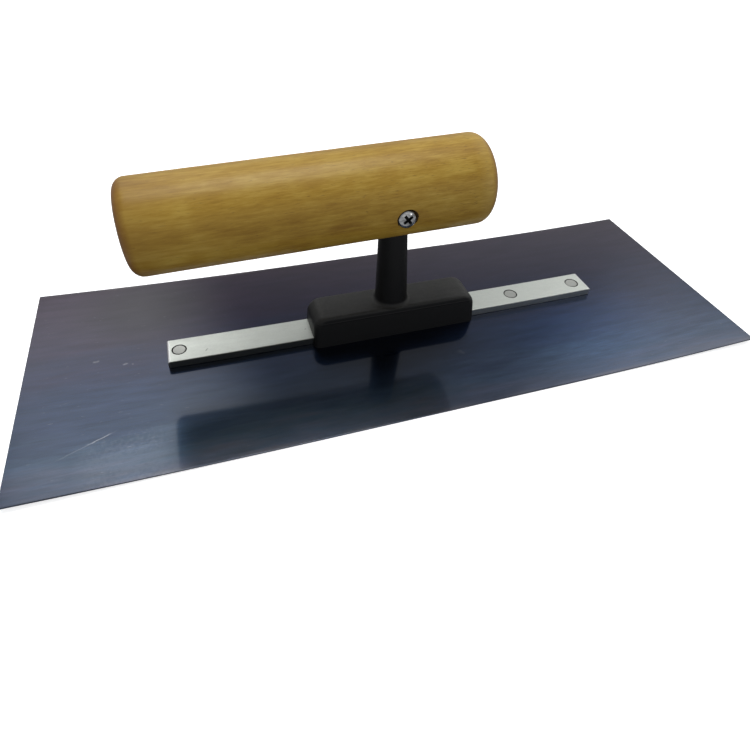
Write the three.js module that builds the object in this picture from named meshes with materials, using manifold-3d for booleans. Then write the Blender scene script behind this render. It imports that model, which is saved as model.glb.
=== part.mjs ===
// A steel finishing trowel in millimetres, +Z up.
// X runs along the blade, +Y is the side away from the handle screw, and the origin is on the
// blade's underside, in the middle of its flat centre, which the trowel stands on.

import * as THREE from 'three';
import { mergeVertices } from 'three/addons/utils/BufferGeometryUtils.js';
import Module from 'manifold-3d';

const wasm = await Module();
wasm.setup();

// Driving dimensions. GAP is the clearance that touching pieces keep.
const GAP = 0.3;
const BLADE = { length: 280, width: 100, thickness: 0.7, flatHalf: 40, rise: 1.8 };
const BAR = { length: 181.4, width: 12, thickness: 3, centreX: -1 };
// The bar, boss, post and handle sit a little behind the blade's centre line.
const LINE_Y = 1.5;
const RIVET = { headRadius: 4, headDepth: 0.7, shankRadius: 2.2, topRadius: 3.15, topDepth: 1.1 };
const RIVET_X = {
  rivet_left: -87.4,
  rivet_hidden_left: -25.7,
  rivet_hidden_right: 18.3,
  rivet_right_inner: 52.1,
  rivet_right_outer: 83.4,
};
const BOSS = {
  centreX: -3.25,
  halfLength: 33.9,
  endDraft: 0.6,
  halfWidth: 9.3,
  sideDraft: 0.145,
  top: 13.4,
  endRound: 4,
  edgeRound: 1.8,
};
const PEG = { radius: 2.5, offsets: [-10, 10] };
const POST = { x: -4.45, lean: 2.31, baseRadius: 6.42, taper: 0.0337, footRound: 1.6, height: 54 };
// The handle's places are in the leaning frame of the post.
const HANDLE = {
  leftX: -89,
  rightX: 33.2,
  axisHeight: 47.8,
  leftRadius: 15.45,
  rightRadius: 16.07,
  leftRound: 3.8,
  rightRound: 5,
  dome: 0.5,
};
const SCREW = {
  x: -1.1,
  dip: 2.4,
  headRadius: 2.9,
  recessRadius: 3.4,
  recessDepth: 0.9,
  headHeight: 0.7,
  coneDepth: 1.6,
  shankRadius: 1.5,
  length: 19,
  slotWidth: 0.9,
  slotLength: 3.9,
  slotDepth: 1.3,
  slotTurn: 35,
};
const ROUND_STEPS = 48;
const SMALL_STEPS = 32;

const bladeTop = BLADE.thickness;
const barBottom = bladeTop + GAP;
const barTop = barBottom + BAR.thickness;

const steel = (color, roughness) =>
  new THREE.MeshStandardMaterial({ color, roughness, metalness: 1 });
const plain = (color, roughness) =>
  new THREE.MeshStandardMaterial({ color, roughness, metalness: 0 });

// Solids: closed geometries turned into manifolds, so that they can be joined and cut.
function toSolid(geometry) {
  const bare = geometry.clone();
  bare.deleteAttribute('normal');
  bare.deleteAttribute('uv');
  const merged = mergeVertices(bare, 1e-4);
  const vertProperties = new Float32Array(merged.attributes.position.array);
  const triVerts = new Uint32Array(merged.index.array);
  return new wasm.Manifold(new wasm.Mesh({ numProp: 3, vertProperties, triVerts }));
}

function toGeometry(solid) {
  const { vertProperties, triVerts } = solid.getMesh();
  const geometry = new THREE.BufferGeometry();
  geometry.setAttribute('position', new THREE.BufferAttribute(vertProperties, 3));
  geometry.setIndex(new THREE.BufferAttribute(triVerts, 1));
  geometry.computeVertexNormals();
  return geometry;
}

function namedMesh(name, geometry, material) {
  const mesh = new THREE.Mesh(geometry, material);
  mesh.name = name;
  return mesh;
}

// How far the sprung blade, and the bar that follows it, has risen at a distance along X.
function camber(x) {
  const past = Math.max(Math.abs(x) - BLADE.flatHalf, 0) / (BLADE.length / 2 - BLADE.flatHalf);
  return BLADE.rise * past * past;
}

function camberSlope(x) {
  const step = 0.5;
  return (camber(x + step) - camber(x - step)) / (2 * step);
}

// Where a strip's profile has points along X: at even steps over each sprung end, and none between
// them, so that the flat centre is one flat face.
function stations(fromX, toX) {
  const count = 20;
  const { flatHalf } = BLADE;
  const list = [];
  for (let i = 0; i <= count; i += 1) {
    list.push(fromX + ((-flatHalf - fromX) * i) / count);
  }
  for (let i = 0; i <= count; i += 1) {
    list.push(flatHalf + ((toX - flatHalf) * i) / count);
  }
  return list;
}

// A flat strip that follows the camber. Its side profile is extruded across Y.
function camberedStrip(fromX, toX, width, bottom, thickness) {
  const along = stations(fromX, toX);
  const edge = (height) => along.map((x) => new THREE.Vector2(x, camber(x) + height));
  const profile = new THREE.Shape([...edge(bottom), ...edge(bottom + thickness).reverse()]);
  const geometry = new THREE.ExtrudeGeometry(profile, { depth: width, bevelEnabled: false });
  return geometry.rotateX(Math.PI / 2).translate(0, width / 2, 0);
}

// A turned piece along +Z from [radius, height] pairs, listed from the lowest upwards.
function turned(profile, steps) {
  const points = profile.map(([radius, height]) => new THREE.Vector2(radius, height));
  return new THREE.LatheGeometry(points, steps).rotateX(Math.PI / 2);
}

// Rivets: a countersunk head flush with the blade's underside, a shank, and a spread top that is
// flush with the bar. The same profile, grown by the gap and run past both faces, cuts the holes.
function rivetGeometry(grow, past) {
  return turned(
    [
      [0, -past],
      [RIVET.headRadius + grow, -past],
      [RIVET.headRadius + grow, 0],
      [RIVET.shankRadius + grow, RIVET.headDepth],
      [RIVET.shankRadius + grow, barTop - RIVET.topDepth],
      [RIVET.topRadius + grow, barTop],
      [RIVET.topRadius + grow, barTop + past],
      [0, barTop + past],
    ],
    SMALL_STEPS,
  );
}

function atRivet(geometry, x) {
  return geometry.rotateY(-Math.atan(camberSlope(x))).translate(x, LINE_Y, camber(x));
}

function cutRivetHoles(solid) {
  let cut = solid;
  for (const x of Object.values(RIVET_X)) {
    cut = cut.subtract(toSolid(atRivet(rivetGeometry(GAP, 1), x)));
  }
  return cut;
}

function blade() {
  const half = BLADE.length / 2;
  const sheet = camberedStrip(-half, half, BLADE.width, 0, BLADE.thickness);
  return namedMesh('blade', toGeometry(cutRivetHoles(toSolid(sheet))), steel(0x3a3f52, 0.3));
}

// A moulded peg of the shank, or the hole that it fills, standing upright between two heights.
function pegGeometry(offset, radius, from, to) {
  return new THREE.CylinderGeometry(radius, radius, to - from, SMALL_STEPS)
    .rotateX(Math.PI / 2)
    .translate(BOSS.centreX + offset, LINE_Y, (from + to) / 2);
}

function mountingBar() {
  const from = BAR.centreX - BAR.length / 2;
  const strip = camberedStrip(from, from + BAR.length, BAR.width, barBottom, BAR.thickness);
  strip.translate(0, LINE_Y, 0);
  let bar = cutRivetHoles(toSolid(strip));
  for (const offset of PEG.offsets) {
    bar = bar.subtract(toSolid(pegGeometry(offset, PEG.radius + GAP, 0, barTop + 1)));
  }
  return namedMesh('mounting_bar', toGeometry(bar), steel(0xb9bbb8, 0.35));
}

function rivets() {
  return Object.entries(RIVET_X).map(([name, x]) =>
    namedMesh(name, atRivet(rivetGeometry(0, 0), x), steel(0xaeb0ad, 0.4)),
  );
}

// The post's frame: its foot is the origin, +Z leans with the post and +X runs along the handle.
function lean(geometry) {
  return geometry
    .rotateY(-THREE.MathUtils.degToRad(POST.lean))
    .translate(POST.x, LINE_Y, BOSS.top);
}

const postRadius = (height) => POST.baseRadius - POST.taper * height;

function postGeometry() {
  const buried = -3;
  const footSteps = 6;
  const profile = [
    [0, buried],
    [postRadius(0) + POST.footRound, buried],
  ];
  for (let i = 0; i <= footSteps; i += 1) {
    const turn = ((i / footSteps) * Math.PI) / 2;
    const height = POST.footRound * (1 - Math.cos(turn));
    profile.push([postRadius(height) + POST.footRound * (1 - Math.sin(turn)), height]);
  }
  profile.push([postRadius(POST.height), POST.height]);
  profile.push([0, POST.height]);
  return lean(turned(profile, ROUND_STEPS));
}

// The boss is a side profile with rounded top corners, extruded across Y with rounded edges,
// and drawn in towards its top.
function bossGeometry() {
  const below = 3;
  const base = BOSS.halfLength;
  const head = BOSS.halfLength - BOSS.endDraft;
  const { top, endRound, edgeRound } = BOSS;
  const profile = new THREE.Shape();
  profile.moveTo(-base, -below);
  profile.lineTo(base, -below);
  profile.lineTo(head, top - endRound);
  profile.quadraticCurveTo(head, top, head - endRound, top);
  profile.lineTo(-head + endRound, top);
  profile.quadraticCurveTo(-head, top, -head, top - endRound);
  const geometry = new THREE.ExtrudeGeometry(profile, {
    depth: 2 * (BOSS.halfWidth - edgeRound),
    bevelEnabled: true,
    bevelThickness: edgeRound,
    bevelSize: edgeRound,
    bevelOffset: -edgeRound,
    bevelSegments: 5,
    curveSegments: 8,
  });
  geometry.translate(0, 0, -(BOSS.halfWidth - edgeRound)).rotateX(Math.PI / 2);
  const place = geometry.attributes.position;
  for (let i = 0; i < place.count; i += 1) {
    const halfWidth = BOSS.halfWidth - BOSS.sideDraft * Math.max(place.getZ(i), 0);
    place.setY(i, (place.getY(i) * halfWidth) / BOSS.halfWidth);
  }
  return geometry.translate(BOSS.centreX, LINE_Y, 0);
}

// A box that cuts right through the boss along X, below a given height.
function bossCutter(width, top) {
  const depth = 20;
  return new THREE.BoxGeometry(3 * BOSS.halfLength, width, depth).translate(
    BOSS.centreX,
    LINE_Y,
    top - depth / 2,
  );
}

// The shank stands just clear of the blade, and the bar lies in a channel along its underside.
function shank() {
  const channelTop = barTop + GAP;
  let solid = toSolid(bossGeometry())
    .subtract(toSolid(bossCutter(3 * BOSS.halfWidth, barBottom)))
    .subtract(toSolid(bossCutter(BAR.width + 2 * GAP, channelTop)));
  for (const offset of PEG.offsets) {
    solid = solid.add(toSolid(pegGeometry(offset, PEG.radius, barBottom, channelTop + GAP)));
  }
  solid = solid.add(toSolid(postGeometry())).subtract(toSolid(screwCutter(GAP, 1)));
  return namedMesh('shank', toGeometry(solid), plain(0x1b1b1b, 0.5));
}

// The handle screw points at the handle's axis from a little below its front.
function handleRadius(x) {
  const along = (x - HANDLE.leftX) / (HANDLE.rightX - HANDLE.leftX);
  return HANDLE.leftRadius + (HANDLE.rightRadius - HANDLE.leftRadius) * along;
}

function atScrew(geometry) {
  const radius = handleRadius(SCREW.x);
  const climb = Math.asin(SCREW.dip / radius);
  return lean(
    geometry
      .rotateX(Math.PI / 2 + climb)
      .translate(0, -radius * Math.cos(climb), -SCREW.dip)
      .translate(SCREW.x, 0, HANDLE.axisHeight),
  );
}

// Its profile has height 0 at the handle's surface and runs down into the wood.
function screwCutter(grow, past) {
  const { shankRadius, length, recessRadius, recessDepth, headRadius, coneDepth } = SCREW;
  return atScrew(
    turned(
      [
        [0, -length - grow],
        [shankRadius + grow, -length - grow],
        [shankRadius + grow, -recessDepth - coneDepth - grow],
        [headRadius + grow, -recessDepth - grow],
        [recessRadius, -recessDepth - grow],
        [recessRadius, past],
        [0, past],
      ],
      SMALL_STEPS,
    ),
  );
}

function handle() {
  const { leftX, rightX, leftRound, rightRound, dome } = HANDLE;
  const roundSteps = 6;
  const profile = [[0, leftX]];
  for (let i = 0; i <= roundSteps; i += 1) {
    const turn = ((i / roundSteps) * Math.PI) / 2;
    const x = leftX + dome + leftRound * (1 - Math.cos(turn));
    profile.push([handleRadius(x) - leftRound * (1 - Math.sin(turn)), x]);
  }
  for (let i = roundSteps; i >= 0; i -= 1) {
    const turn = ((i / roundSteps) * Math.PI) / 2;
    const x = rightX - dome - rightRound * (1 - Math.cos(turn));
    profile.push([handleRadius(x) - rightRound * (1 - Math.sin(turn)), x]);
  }
  profile.push([0, rightX]);
  const cylinder = turned(profile, ROUND_STEPS)
    .rotateY(Math.PI / 2)
    .translate(0, 0, HANDLE.axisHeight);
  const boreFrom = HANDLE.axisHeight - HANDLE.rightRadius - 4;
  const bore = turned(
    [
      [0, boreFrom],
      [postRadius(boreFrom) + GAP, boreFrom],
      [postRadius(POST.height) + GAP, POST.height + GAP],
      [0, POST.height + GAP],
    ],
    ROUND_STEPS,
  );
  const solid = toSolid(lean(cylinder))
    .subtract(toSolid(lean(bore)))
    .subtract(toSolid(screwCutter(GAP, 4)));
  return namedMesh('handle', toGeometry(solid), plain(0x9a7433, 0.45));
}

function handleScrew() {
  const { headRadius, headHeight, recessDepth, coneDepth, shankRadius, length } = SCREW;
  const seat = -recessDepth;
  const body = turned(
    [
      [0, -length],
      [shankRadius, 2 - length],
      [shankRadius, seat - coneDepth],
      [headRadius, seat],
      [headRadius * 0.85, seat + headHeight * 0.55],
      [headRadius * 0.5, seat + headHeight * 0.9],
      [0, seat + headHeight],
    ],
    SMALL_STEPS,
  );
  let solid = toSolid(atScrew(body));
  for (const quarter of [0, 90]) {
    const slot = new THREE.BoxGeometry(SCREW.slotLength, SCREW.slotWidth, 2 * SCREW.slotDepth)
      .rotateZ(THREE.MathUtils.degToRad(SCREW.slotTurn + quarter))
      .translate(0, 0, seat + headHeight);
    solid = solid.subtract(toSolid(atScrew(slot)));
  }
  return namedMesh('handle_screw', toGeometry(solid), steel(0xb4b4b6, 0.25));
}

const trowel = new THREE.Group();
trowel.add(blade(), mountingBar(), ...rivets(), shank(), handle(), handleScrew());

export default trowel;
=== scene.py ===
import math

import bmesh
import bpy
from mathutils import Matrix, Vector, noise


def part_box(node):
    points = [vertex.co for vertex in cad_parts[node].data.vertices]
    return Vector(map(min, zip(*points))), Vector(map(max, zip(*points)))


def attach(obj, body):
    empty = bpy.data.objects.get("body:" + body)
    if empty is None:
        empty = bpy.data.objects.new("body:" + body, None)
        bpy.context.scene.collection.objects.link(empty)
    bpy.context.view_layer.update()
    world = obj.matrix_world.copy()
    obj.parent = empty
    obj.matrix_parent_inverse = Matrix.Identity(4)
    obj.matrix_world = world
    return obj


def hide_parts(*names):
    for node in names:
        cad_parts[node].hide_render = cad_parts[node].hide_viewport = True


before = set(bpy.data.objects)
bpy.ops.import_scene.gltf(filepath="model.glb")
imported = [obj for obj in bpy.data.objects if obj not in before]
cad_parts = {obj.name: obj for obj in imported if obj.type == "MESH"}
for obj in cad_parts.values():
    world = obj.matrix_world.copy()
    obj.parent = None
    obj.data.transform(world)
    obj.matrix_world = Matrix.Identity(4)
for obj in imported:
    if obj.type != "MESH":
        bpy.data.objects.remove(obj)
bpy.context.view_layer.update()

# A steel finishing trowel in metres: +X along the blade, +Y away from the handle screw, +Z up.
# Boxes come from the CAD parts in model.glb. What a box can't say is named here: mostly the CAD
# model's own measures, with the boss, handle and screw fitted a little closer to the photo.
MM = 0.001
BODY = "root"

BLADE_THICKNESS = 0.7 * MM
BLADE_FLAT_HALF = 40 * MM
BLADE_BEVEL = 0.1 * MM
# The blade and bar are cut into strips this long before they are bent.
SPRING_STEP = 4 * MM
BAR_THICKNESS = 3 * MM
BAR_BEVEL = 0.28 * MM
BAR_END_ROLL = 1 * MM
BAR_END_DROP = 0.4 * MM
RIVET_HEAD_RADIUS = 4 * MM
RIVET_SHANK_RADIUS = 2.2 * MM
RIVET_TOP_DEPTH = 1.1 * MM
# Radius of the dark ring round each rivet's top: the left one is the tightest.
RIVET_RING_RADIUS = {"rivet_left": 2.75 * MM}
RIVET_RING_USUAL = 3 * MM
RIVET_RING_WIDTH = 0.42 * MM
RIVET_RING_DEPTH = 0.35 * MM
RIVET_EDGE = 0.12 * MM
# The dish in a rivet's top: shares of its radius, and how deep the dish is there.
RIVET_DISH = ((0.5, 0.05 * MM), (0.01, 0.06 * MM))
# A face that looks up or down by more than this is the bar's flat top or bottom.
FLAT_NORMAL = 0.999
BOSS_TOP = 13.4 * MM
BOSS_END_DRAFT = 0.6 * MM
BOSS_SIDE_DRAFT = 0.145
BOSS_END_ROUND = 4.8 * MM
BOSS_EDGE_ROUND = 1.1 * MM
BOSS_CORNER = 2.4 * MM
BOSS_LEFT_EXTRA = 0.9 * MM
# The boss's top is cut into rings this far out from the post's foot to its rim.
BOSS_TOP_PARTS = (0.06, 0.2, 0.45, 0.75, 0.94)
PARTING_DROP = 2.3 * MM
PARTING_RIDGE = 0.08 * MM
PARTING_HALF_WIDTH = 0.15 * MM
POST_X = -4.45 * MM
POST_LEAN = math.radians(2.31)
POST_RADIUS = 6.42 * MM
POST_TAPER = 0.0337
POST_FOOT_ROUND = 1.6 * MM
POST_TIP_ROUND = 0.8 * MM
POST_HEIGHT = 54 * MM
PEG_RADIUS = 2.5 * MM
PEG_OFFSET = 10 * MM
# In the post's leaning frame, whose origin is the post's foot.
HANDLE_LEFT = -89.3 * MM
HANDLE_RIGHT = 33.6 * MM
HANDLE_AXIS = 47.8 * MM
HANDLE_LEFT_RADIUS = 15.55 * MM
HANDLE_RIGHT_RADIUS = 16.2 * MM
HANDLE_LEFT_ROUND = 3.8 * MM
HANDLE_RIGHT_ROUND = 4.6 * MM
HANDLE_DOME = 0.5 * MM
HANDLE_DOME_PARTS = (0.04, 0.3, 0.55, 0.8)
# The turned surface wanders by up to this much, as a noise does with so many waves to a metre
# along the handle and so many to a radius across it.
HANDLE_WOBBLE = 0.07 * MM
HANDLE_WAVES_ALONG = 45
HANDLE_WAVES_ROUND = 0.7
SCREW_X = -0.7 * MM
SCREW_DIP = 2.9 * MM
SCREW_RISE = math.radians(6)
SCREW_HEAD_RADIUS = 3.35 * MM
SCREW_RECESS_RADIUS = 3.65 * MM
SCREW_SEAT = -0.9 * MM
SCREW_HEAD_HEIGHT = 1.4 * MM
SCREW_CONE_DEPTH = 1.6 * MM
# The recess's rim opens out a little from just under the wood's skin to just above it.
RECESS_FLARE = 0.2 * MM
RECESS_FLARE_FROM = -0.2 * MM
RECESS_FLARE_TO = 0.15 * MM
# The cutters for the recess and the post's bore reach this far past the wood.
RECESS_PAST = 3 * MM
BORE_PAST = 4 * MM
# The wall of the recess, painted with stain and shade, starts this far under the wood's skin.
RECESS_SKIN = 0.12 * MM
SCREW_SHANK_RADIUS = 1.5 * MM
SCREW_LENGTH = 19 * MM
SCREW_POINT = 2.5 * MM
SCREW_TURN = math.radians(35)
# Half the length, width and depth of an arm of the cross slot's cutter, and how much of its
# length and width is left at the slot's floor.
SLOT_HALF = Vector((2.9, 0.66, 1.5)) * MM
SLOT_FLOOR_SHARE = (0.4, 0.6)
# The slot's faces lie within the reach. Its walls look up by less than the wall normal, and its
# floor is lower in the head than the floor height.
SLOT_REACH = 2.6 * MM
SLOT_WALL_NORMAL = 0.8
SLOT_FLOOR_HEIGHT = 0.3 * SCREW_HEAD_HEIGHT
# Clearance that keeps the fine meshes of touching pieces apart.
HAIRLINE = 0.05 * MM
# A rivet hole's cutter, or a peg that is joined on, reaches this far past the bar.
PAST = 1 * MM
# A round piece is closed by a ring this small, where a point would pinch its shading.
PINHOLE = 0.02 * MM
# Faces that meet at more than this angle keep a sharp edge: on most pieces, on the shank and
# handle, and on the screw.
SHARP_DEGREES = 40
SHARP_DEGREES_FINE = 35
SHARP_DEGREES_SCREW = 30
# How far a weighted normal favours large faces: 50 would be evenly.
NORMAL_WEIGHT = 80
# How many steps the round pieces, the long runs and the rounded edges are made in.
ROUND_STEPS = 64
PEG_STEPS = 48
BORE_STEPS = 96
HANDLE_ROUND_STEPS = 128
HANDLE_RUN_STEPS = 80
HANDLE_END_STEPS = 10
SCREW_DOME_STEPS = 8
BAR_END_STEPS = 5
POST_TIP_STEPS = 4
POST_RUN_STEPS = 24
POST_FOOT_STEPS = 8
BOSS_EDGE_STEPS = 12
BOSS_CORNER_STEPS = 12
# The boss's corners as seen from above, and the steps of the straight run after each one.
BOSS_CORNERS = ((1, 1), (-1, 1), (-1, -1), (1, -1))
BOSS_RUN_STEPS = (96, 20, 96, 20)

blade_low, blade_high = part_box("blade")
bar_low, bar_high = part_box("mounting_bar")
shank_low, shank_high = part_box("shank")
RIVETS = [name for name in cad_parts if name.startswith("rivet_")]
BLADE_RISE = blade_high.z - BLADE_THICKNESS
LINE_Y = (bar_low.y + bar_high.y) / 2
BAR_MIDDLE = (bar_low.x + bar_high.x) / 2
BAR_HALF = (bar_high.x - bar_low.x) / 2
BAR_TOP = bar_low.z + BAR_THICKNESS
BOSS_MIDDLE = (shank_low.x - BOSS_LEFT_EXTRA + shank_high.x) / 2
PEGS_MIDDLE = (shank_low.x + shank_high.x) / 2
POST_FOOT = Vector((POST_X, LINE_Y, BOSS_TOP))
LEAN = Matrix.Rotation(-POST_LEAN, 4, "Y")
HANDLE_ORIGIN = POST_FOOT + LEAN @ Vector((0, 0, HANDLE_AXIS))
HANDLE_MIDDLE = (HANDLE_LEFT + HANDLE_RIGHT) / 2
HANDLE_HALF = (HANDLE_RIGHT - HANDLE_LEFT) / 2
# The tree's heart, which the end grain's rings go round.
HEART = HANDLE_ORIGIN + Vector((0, -9, -21)) * MM

# The camera stands in front of the blade's left half and looks down along it.
CAMERA_PLACE = Vector((-71, -163.2, 152.4)) * MM
CAMERA_AZIMUTH = math.radians(20.83)
CAMERA_ELEVATION = math.radians(39.88)
CAMERA_ROLL = math.radians(4.08)
CAMERA_LENS = 26.86
CAMERA_SHIFT = (-0.0073, -0.0815)
CAMERA_SENSOR_WIDTH = 36
CAMERA_CLIP = (0.01, 20)


def make_camera():
    data = bpy.data.cameras.new("camera")
    data.lens = CAMERA_LENS
    data.sensor_width = CAMERA_SENSOR_WIDTH
    data.shift_x, data.shift_y = CAMERA_SHIFT
    data.clip_start, data.clip_end = CAMERA_CLIP
    turn = (
        Matrix.Rotation(-CAMERA_AZIMUTH, 4, "Z")
        @ Matrix.Rotation(math.pi / 2 - CAMERA_ELEVATION, 4, "X")
        @ Matrix.Rotation(CAMERA_ROLL, 4, "Z")
    )
    camera = bpy.data.objects.new("camera", data)
    camera.matrix_world = Matrix.Translation(CAMERA_PLACE) @ turn
    bpy.context.scene.collection.objects.link(camera)
    bpy.context.scene.camera = camera


# Each softbox hangs on a sphere round the object: its bearing from +Y towards +X, its height
# above the floor as an angle, its distance, its width and height, and its power in watts. The
# spark is a small one, for the highlight in the screw's head.
SOFTBOXES = {
    "softbox_top": (0, 80, 1.0, (0.8, 0.8), 9.4),
    "softbox_left": (-22, 44, 1.0, (0.62, 0.64), 1.75),
    "softbox_right": (67, 41, 1.0, (0.66, 0.6), 1.08),
    "softbox_back": (20, 24, 1.4, (3.4, 0.9), 2.6),
    "softbox_fill": (178, 22, 1.5, (2.4, 1.4), 2.25),
    "softbox_spark": (143, 14, 1.5, (0.26, 0.26), 1.5),
}
# The share of a softbox's width and height over which its light fades out at each edge.
SOFTBOX_FEATHER = 0.34
WORLD_COLOUR = (0.95, 0.97, 1, 1)
WORLD_STRENGTH = 0.325
FLOOR_HALF = 3
FLOOR_STEPS = 8


def feather(data):
    """Fades a softbox's light towards its edges, as its cloth does."""
    data.use_nodes = True
    nodes, links = data.node_tree.nodes, data.node_tree.links
    spot = nodes.new("ShaderNodeSeparateXYZ")
    links.new(nodes.new("ShaderNodeNewGeometry").outputs["Parametric"], spot.inputs["Vector"])
    fades = []
    for side in "XY":
        off = nodes.new("ShaderNodeMath")
        off.operation = "SUBTRACT"
        off.inputs[1].default_value = 0.5
        links.new(spot.outputs[side], off.inputs[0])
        reach = nodes.new("ShaderNodeMath")
        reach.operation = "ABSOLUTE"
        links.new(off.outputs["Value"], reach.inputs[0])
        fade = nodes.new("ShaderNodeMapRange")
        fade.interpolation_type = "SMOOTHSTEP"
        fade.inputs["From Min"].default_value = 0.5
        fade.inputs["From Max"].default_value = 0.5 - SOFTBOX_FEATHER
        links.new(reach.outputs["Value"], fade.inputs["Value"])
        fades.append(fade.outputs["Result"])
    both = nodes.new("ShaderNodeMath")
    both.operation = "MULTIPLY"
    links.new(fades[0], both.inputs[0])
    links.new(fades[1], both.inputs[1])
    links.new(both.outputs["Value"], nodes["Emission"].inputs["Strength"])


def add_softbox(name, bearing, height, distance, size, watts):
    data = bpy.data.lights.new(name, "AREA")
    data.shape = "RECTANGLE"
    data.size, data.size_y = size
    data.energy = watts
    feather(data)
    bearing, height = math.radians(bearing), math.radians(height)
    flat = math.cos(height)
    way = Vector((math.sin(bearing) * flat, math.cos(bearing) * flat, math.sin(height)))
    light = bpy.data.objects.new(name, data)
    turn = (-way).to_track_quat("-Z", "Y").to_matrix().to_4x4()
    light.matrix_world = Matrix.Translation(way * distance) @ turn
    light.visible_camera = False
    bpy.context.scene.collection.objects.link(light)


def make_studio():
    world = bpy.data.worlds.new("studio")
    world.use_nodes = True
    background = world.node_tree.nodes["Background"]
    background.inputs["Color"].default_value = WORLD_COLOUR
    background.inputs["Strength"].default_value = WORLD_STRENGTH
    bpy.context.scene.world = world
    bpy.context.scene.view_settings.view_transform = "Standard"
    for name, place in SOFTBOXES.items():
        add_softbox(name, *place)
    bm = bmesh.new()
    bmesh.ops.create_grid(bm, x_segments=FLOOR_STEPS, y_segments=FLOOR_STEPS, size=FLOOR_HALF)
    floor = finish_mesh("floor", shift(bm, (0, 0, -HAIRLINE)), [floor_material()])
    # The paper under the object is bright to the eye, but throws no light up at the object.
    floor.visible_diffuse = False
    floor.visible_glossy = False


# Material nodes.
class Nodes:
    """A material's node tree, with one short call for each kind of node."""

    def __init__(self, name, **sockets):
        self.material = bpy.data.materials.new(name)
        self.material.use_nodes = True
        self.tree = self.material.node_tree
        self.shader = self.tree.nodes["Principled BSDF"]
        for socket, value in sockets.items():
            self.shader.inputs[socket.replace("_", " ")].default_value = value

    def add(self, kind, inputs=(), **settings):
        node = self.tree.nodes.new(kind)
        for key, value in settings.items():
            setattr(node, key, value)
        for socket, value in dict(inputs).items():
            if isinstance(value, bpy.types.NodeSocket):
                self.tree.links.new(value, node.inputs[socket])
            else:
                node.inputs[socket].default_value = value
        return node

    def link(self, output, socket):
        self.tree.links.new(output, self.shader.inputs[socket])

    def place(self, size=(1, 1, 1), turn=(0, 0, 0), origin=(0, 0, 0)):
        """Object coordinates from an origin, along turned axes, in units of a feature's size."""
        where = self.add("ShaderNodeTexCoord").outputs["Object"]
        inputs = {"Vector": where, "Location": origin, "Rotation": turn, "Scale": size}
        mapping = self.add("ShaderNodeMapping", inputs, vector_type="TEXTURE")
        return mapping.outputs["Vector"]

    def split(self, vector):
        """The X, Y and Z of a vector."""
        return self.add("ShaderNodeSeparateXYZ", {"Vector": vector}).outputs

    def grain(self, size, detail=2, roughness=0.5, **where):
        """Noise stretched to a feature's length, breadth and depth in millimetres."""
        vector = self.place(tuple(MM * side for side in size), **where)
        inputs = {"Vector": vector, "Scale": 1, "Detail": detail, "Roughness": roughness}
        return self.add("ShaderNodeTexNoise", inputs).outputs["Fac"]

    def span(self, value, low, high, to_low=0, to_high=1):
        inputs = {
            "Value": value,
            "From Min": low,
            "From Max": high,
            "To Min": to_low,
            "To Max": to_high,
        }
        return self.add("ShaderNodeMapRange", inputs).outputs["Result"]

    def vary(self, value, low, high, spread=0.25):
        """Carries a noise from low to high over the spread to either side of its middle, 0.5."""
        return self.span(value, 0.5 - spread, 0.5 + spread, low, high)

    def normal(self):
        """The X, Y and Z of the surface's direction."""
        return self.split(self.add("ShaderNodeNewGeometry").outputs["Normal"])

    def math(self, operation, first, second=0):
        node = self.add("ShaderNodeMath", {0: first, 1: second}, operation=operation)
        return node.outputs["Value"]

    def multiply(self, first, second):
        return self.math("MULTIPLY", first, second)

    def away(self, value, middle):
        """How far a value is from a middle one, to either side."""
        return self.math("ABSOLUTE", self.math("SUBTRACT", value, middle))

    def ramp(self, value, stops):
        node = self.add("ShaderNodeValToRGB", {"Fac": value})
        elements = node.color_ramp.elements
        while len(elements) < len(stops):
            elements.new(0.5)
        for element, (position, colour) in zip(elements, stops):
            element.position = position
            element.color = (*colour, 1)
        return node.outputs["Color"]

    def blend(self, factor, first, second, mode="MIX"):
        """Mixes an output with another one, or with a (red, green, blue)."""
        if isinstance(second, tuple):
            second = (*second, 1)
        inputs = {0: factor, 6: first, 7: second}
        return self.add("ShaderNodeMix", inputs, data_type="RGBA", blend_type=mode).outputs[2]

    def tint(self, first, second):
        return self.blend(1.0, first, second, "MULTIPLY")

    def bump(self, height, distance, normal=None):
        inputs = {"Height": height, "Distance": distance, "Strength": 1}
        if normal is not None:
            inputs["Normal"] = normal
        return self.add("ShaderNodeBump", inputs).outputs["Normal"]


def grey(value):
    return (value, value, value)


FLOOR_TONES = [(0.3, grey(0.84)), (0.7, grey(0.88))]
FLOOR_GLOW = 0.75


def floor_material():
    nodes = Nodes(
        "floor",
        Roughness=0.9,
        Emission_Color=(1, 1, 1, 1),
        Emission_Strength=FLOOR_GLOW,
    )
    mottle = nodes.grain((150, 150, 150), 4)
    nodes.link(nodes.ramp(mottle, FLOOR_TONES), "Base Color")
    return nodes.material


def mark(nodes, start, end, width):
    """1 on a straight band between two points of the XY plane in millimetres, 0 off it. It draws
    scratches, dents and one broad painted sheen.
    """
    start, end = Vector((*start, 0)), Vector((*end, 0))
    along = end - start
    turn = (0, 0, math.atan2(along.y, along.x))
    size = (along.length * MM, width * MM, 1)
    run = nodes.split(nodes.place(size, turn, start * MM))
    wander = nodes.vary(nodes.grain((1.2, 1.2, 1.2)), -0.5, 0.5, 0.2)
    beside = nodes.math("ABSOLUTE", nodes.math("ADD", run["Y"], wander))
    inside = nodes.span(nodes.away(run["X"], 0.5), 0.3, 0.5, 1, 0)
    return nodes.multiply(nodes.span(beside, 0.2, 1, 1, 0), inside)


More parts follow.
